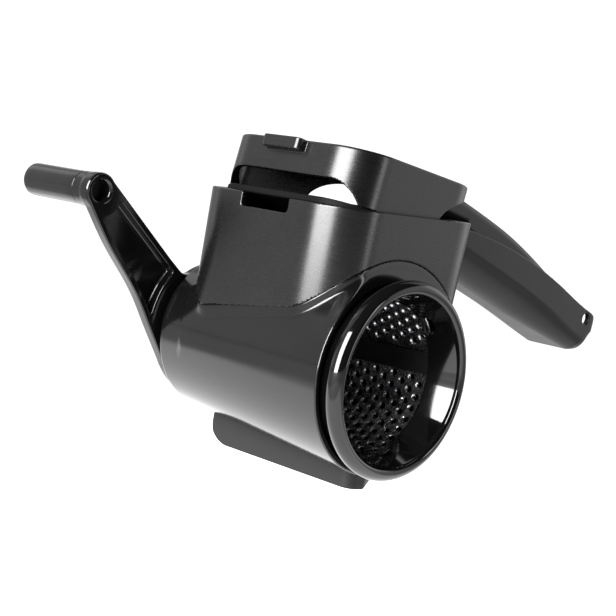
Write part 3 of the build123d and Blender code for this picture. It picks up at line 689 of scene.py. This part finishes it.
# ---------------------------------------------------------------- stage
def backdrop():
    """Floor that sweeps up behind the object; it looks pale only through the painted glow of its material."""
    a = math.radians(-47.2)
    away = np.array([-math.sin(a), math.cos(a)])
    side = np.array([math.cos(a), math.sin(a)])
    prof = [(-3.2, 0.0), (-1.0, 0.0), (0.4, 0.0), (1.2, 0.0)]
    prof += [(1.2 + 0.8 * math.sin(t), 0.8 - 0.8 * math.cos(t)) for t in np.linspace(0.1, math.pi / 2, 14)]
    prof += [(2.0, 3.4)]
    pts, faces = [], []
    for s in (-4.0, 4.0):
        for d, z in prof:
            p = away * d + side * s
            pts.append((p[0] * 1000, p[1] * 1000, z * 1000 - 0.05))
    k = len(prof)
    for i in range(k - 1):
        faces.append((i, k + i, k + i + 1, i + 1))
    return shell("floor_sweep", pts, faces)


def floor_glow_paint(nt, bsdf):
    """Dark floor with a painted glow: brightest under the object, with painted darker wedges outside the camera's view
    for the gloss black parts to reflect, and a brighter painted patch near the object that lights the barrel's
    underside.
    """

    def along(vec, direction):
        d = nt.nodes.new("ShaderNodeVectorMath")
        d.operation = "DOT_PRODUCT"
        d.inputs[1].default_value = direction
        nt.links.new(vec, d.inputs[0])
        return d.outputs["Value"]

    v = coords(nt)
    side = along(v, (0.67931, -0.73385, 0))
    depth = along(v, (0.73385, 0.67931, 0))
    spread = add(nt, side, add(nt, add(nt, depth, 0.465), 0.05, "MAXIMUM"), "DIVIDE")
    # painted darker wedges in the floor's glow, outside the camera's view, reflected by the gloss black parts
    wedge = add(nt, remap(nt, spread, 1.0, 0.0, 0.29, 0.36), remap(nt, spread, 0.0, 1.0, -0.31, -0.275), "MULTIPLY")
    near = remap(nt, depth, 0.0, 1.0, -0.34, -0.22)
    seen = add(nt, wedge, near, "MULTIPLY")
    length = nt.nodes.new("ShaderNodeVectorMath")
    length.operation = "LENGTH"
    nt.links.new(coords(nt, (1, 1, 0)), length.inputs[0])
    across = along(v, (1, 0, 0))
    # painted glow patch near the object, lighting the barrel's underside from below
    sheet = add(nt, remap(nt, across, 0.0, 1.0, -0.093, -0.081), remap(nt, across, 1.0, 0.0, 0.02, 0.08), "MULTIPLY")
    glow = add(nt, sheet, remap(nt, length.outputs["Value"], 1.2, 0.0, 0.15, 0.36), "MULTIPLY")
    # the painted glow pattern drives the floor's emission; the base colour stays dark
    nt.links.new(add(nt, remap(nt, seen, 0.42, 1.02, 0, 1), glow), bsdf.inputs["Emission Strength"])
    bsdf.inputs["Emission Color"].default_value = (1, 1, 1, 1)
    nt.links.new(tint(nt, noise(nt, v, 6, 3), (0.11, 0.11, 0.11), (0.13, 0.13, 0.13)), bsdf.inputs["Base Color"])


floor = backdrop()
FLOOR_GLOW = material("floor_painted_glow", (0.2, 0.2, 0.2), 0.8, floor_glow_paint)
floor.data.materials.append(FLOOR_GLOW)


def softbox(name, at, to, size, power, colour=(1, 1, 1)):
    light = bpy.data.lights.new(name, "AREA")
    light.shape = "RECTANGLE"
    light.size, light.size_y = size
    light.energy = power
    light.color = colour
    obj = bpy.data.objects.new(name, light)
    scene.collection.objects.link(obj)
    at, to = np.array(at, float), np.array(to, float)
    back = (at - to) / np.linalg.norm(at - to)
    right = np.cross((0, 0, 1), back)
    right /= np.linalg.norm(right)
    up = np.cross(back, right)
    m = Matrix.Identity(4)
    for i in range(3):
        m[i][0], m[i][1], m[i][2], m[i][3] = right[i], up[i], back[i], at[i]
    obj.matrix_world = m
    return obj


world = bpy.data.worlds.new("studio")
scene.world = world
world.use_nodes = True
world.node_tree.nodes["Background"].inputs[0].default_value = (0.012, 0.012, 0.012, 1)
world.node_tree.nodes["Background"].inputs[1].default_value = 1.0

# camera frame, used to place the lights
AZ, EL, ROLL = (math.radians(v) for v in (-47.2108, 2.5437, 11.1508))
B = np.array([math.sin(AZ) * math.cos(EL), -math.cos(AZ) * math.cos(EL), math.sin(EL)])
R0 = np.array([math.cos(AZ), math.sin(AZ), 0.0])
U0 = np.cross(B, R0)
R = math.cos(ROLL) * R0 + math.sin(ROLL) * U0
U = -math.sin(ROLL) * R0 + math.cos(ROLL) * U0
MID = np.array([0.02, 0.0, 0.06])


def lamp(name, turn, rise, far, wide, tall, glow):
    """Softbox seen from the object at an angle right of the camera and above the floor, in degrees, with its brightness."""
    t, e = math.radians(turn), math.radians(rise)
    toward = (R0 * math.sin(t) + np.array([B[0], B[1], 0]) / math.hypot(B[0], B[1]) * math.cos(t)) * math.cos(e) + np.array([0, 0, math.sin(e)])
    w, h = 2 * far * math.tan(math.radians(wide / 2)), 2 * far * math.tan(math.radians(tall / 2))
    return softbox(name, MID + toward * far, MID, (w, h), glow * math.pi * w * h)


lamp("strip_left", -38, 16, 1.2, 40, 46, 28)
lamp("strip_right", 66, 12, 1.2, 9, 36, 6)
lamp("fill_right", 108, 14, 1.3, 60, 50, 1.05)
lamp("overhead", -100, 33, 1.4, 60, 68, 0.75)

cam = bpy.data.cameras.new("photo_camera")
cam.sensor_fit = "HORIZONTAL"
cam.sensor_width = 36.0
cam.lens = 36.0 * 1338.1426 / 616.0
cam.clip_start, cam.clip_end = 0.01, 20
cam_obj = bpy.data.objects.new("photo_camera", cam)
scene.collection.objects.link(cam_obj)
place = 1.15 * (B * 405.995 - R * -2.3662 - U * -14.0388) + np.array([0, 0, 34 * 1.15])
m = Matrix.Identity(4)
for i in range(3):
    m[i][0], m[i][1], m[i][2], m[i][3] = R[i], U[i], B[i], place[i] * 0.001
cam_obj.matrix_world = m
scene.camera = cam_obj

scene.view_settings.view_transform = "Standard"
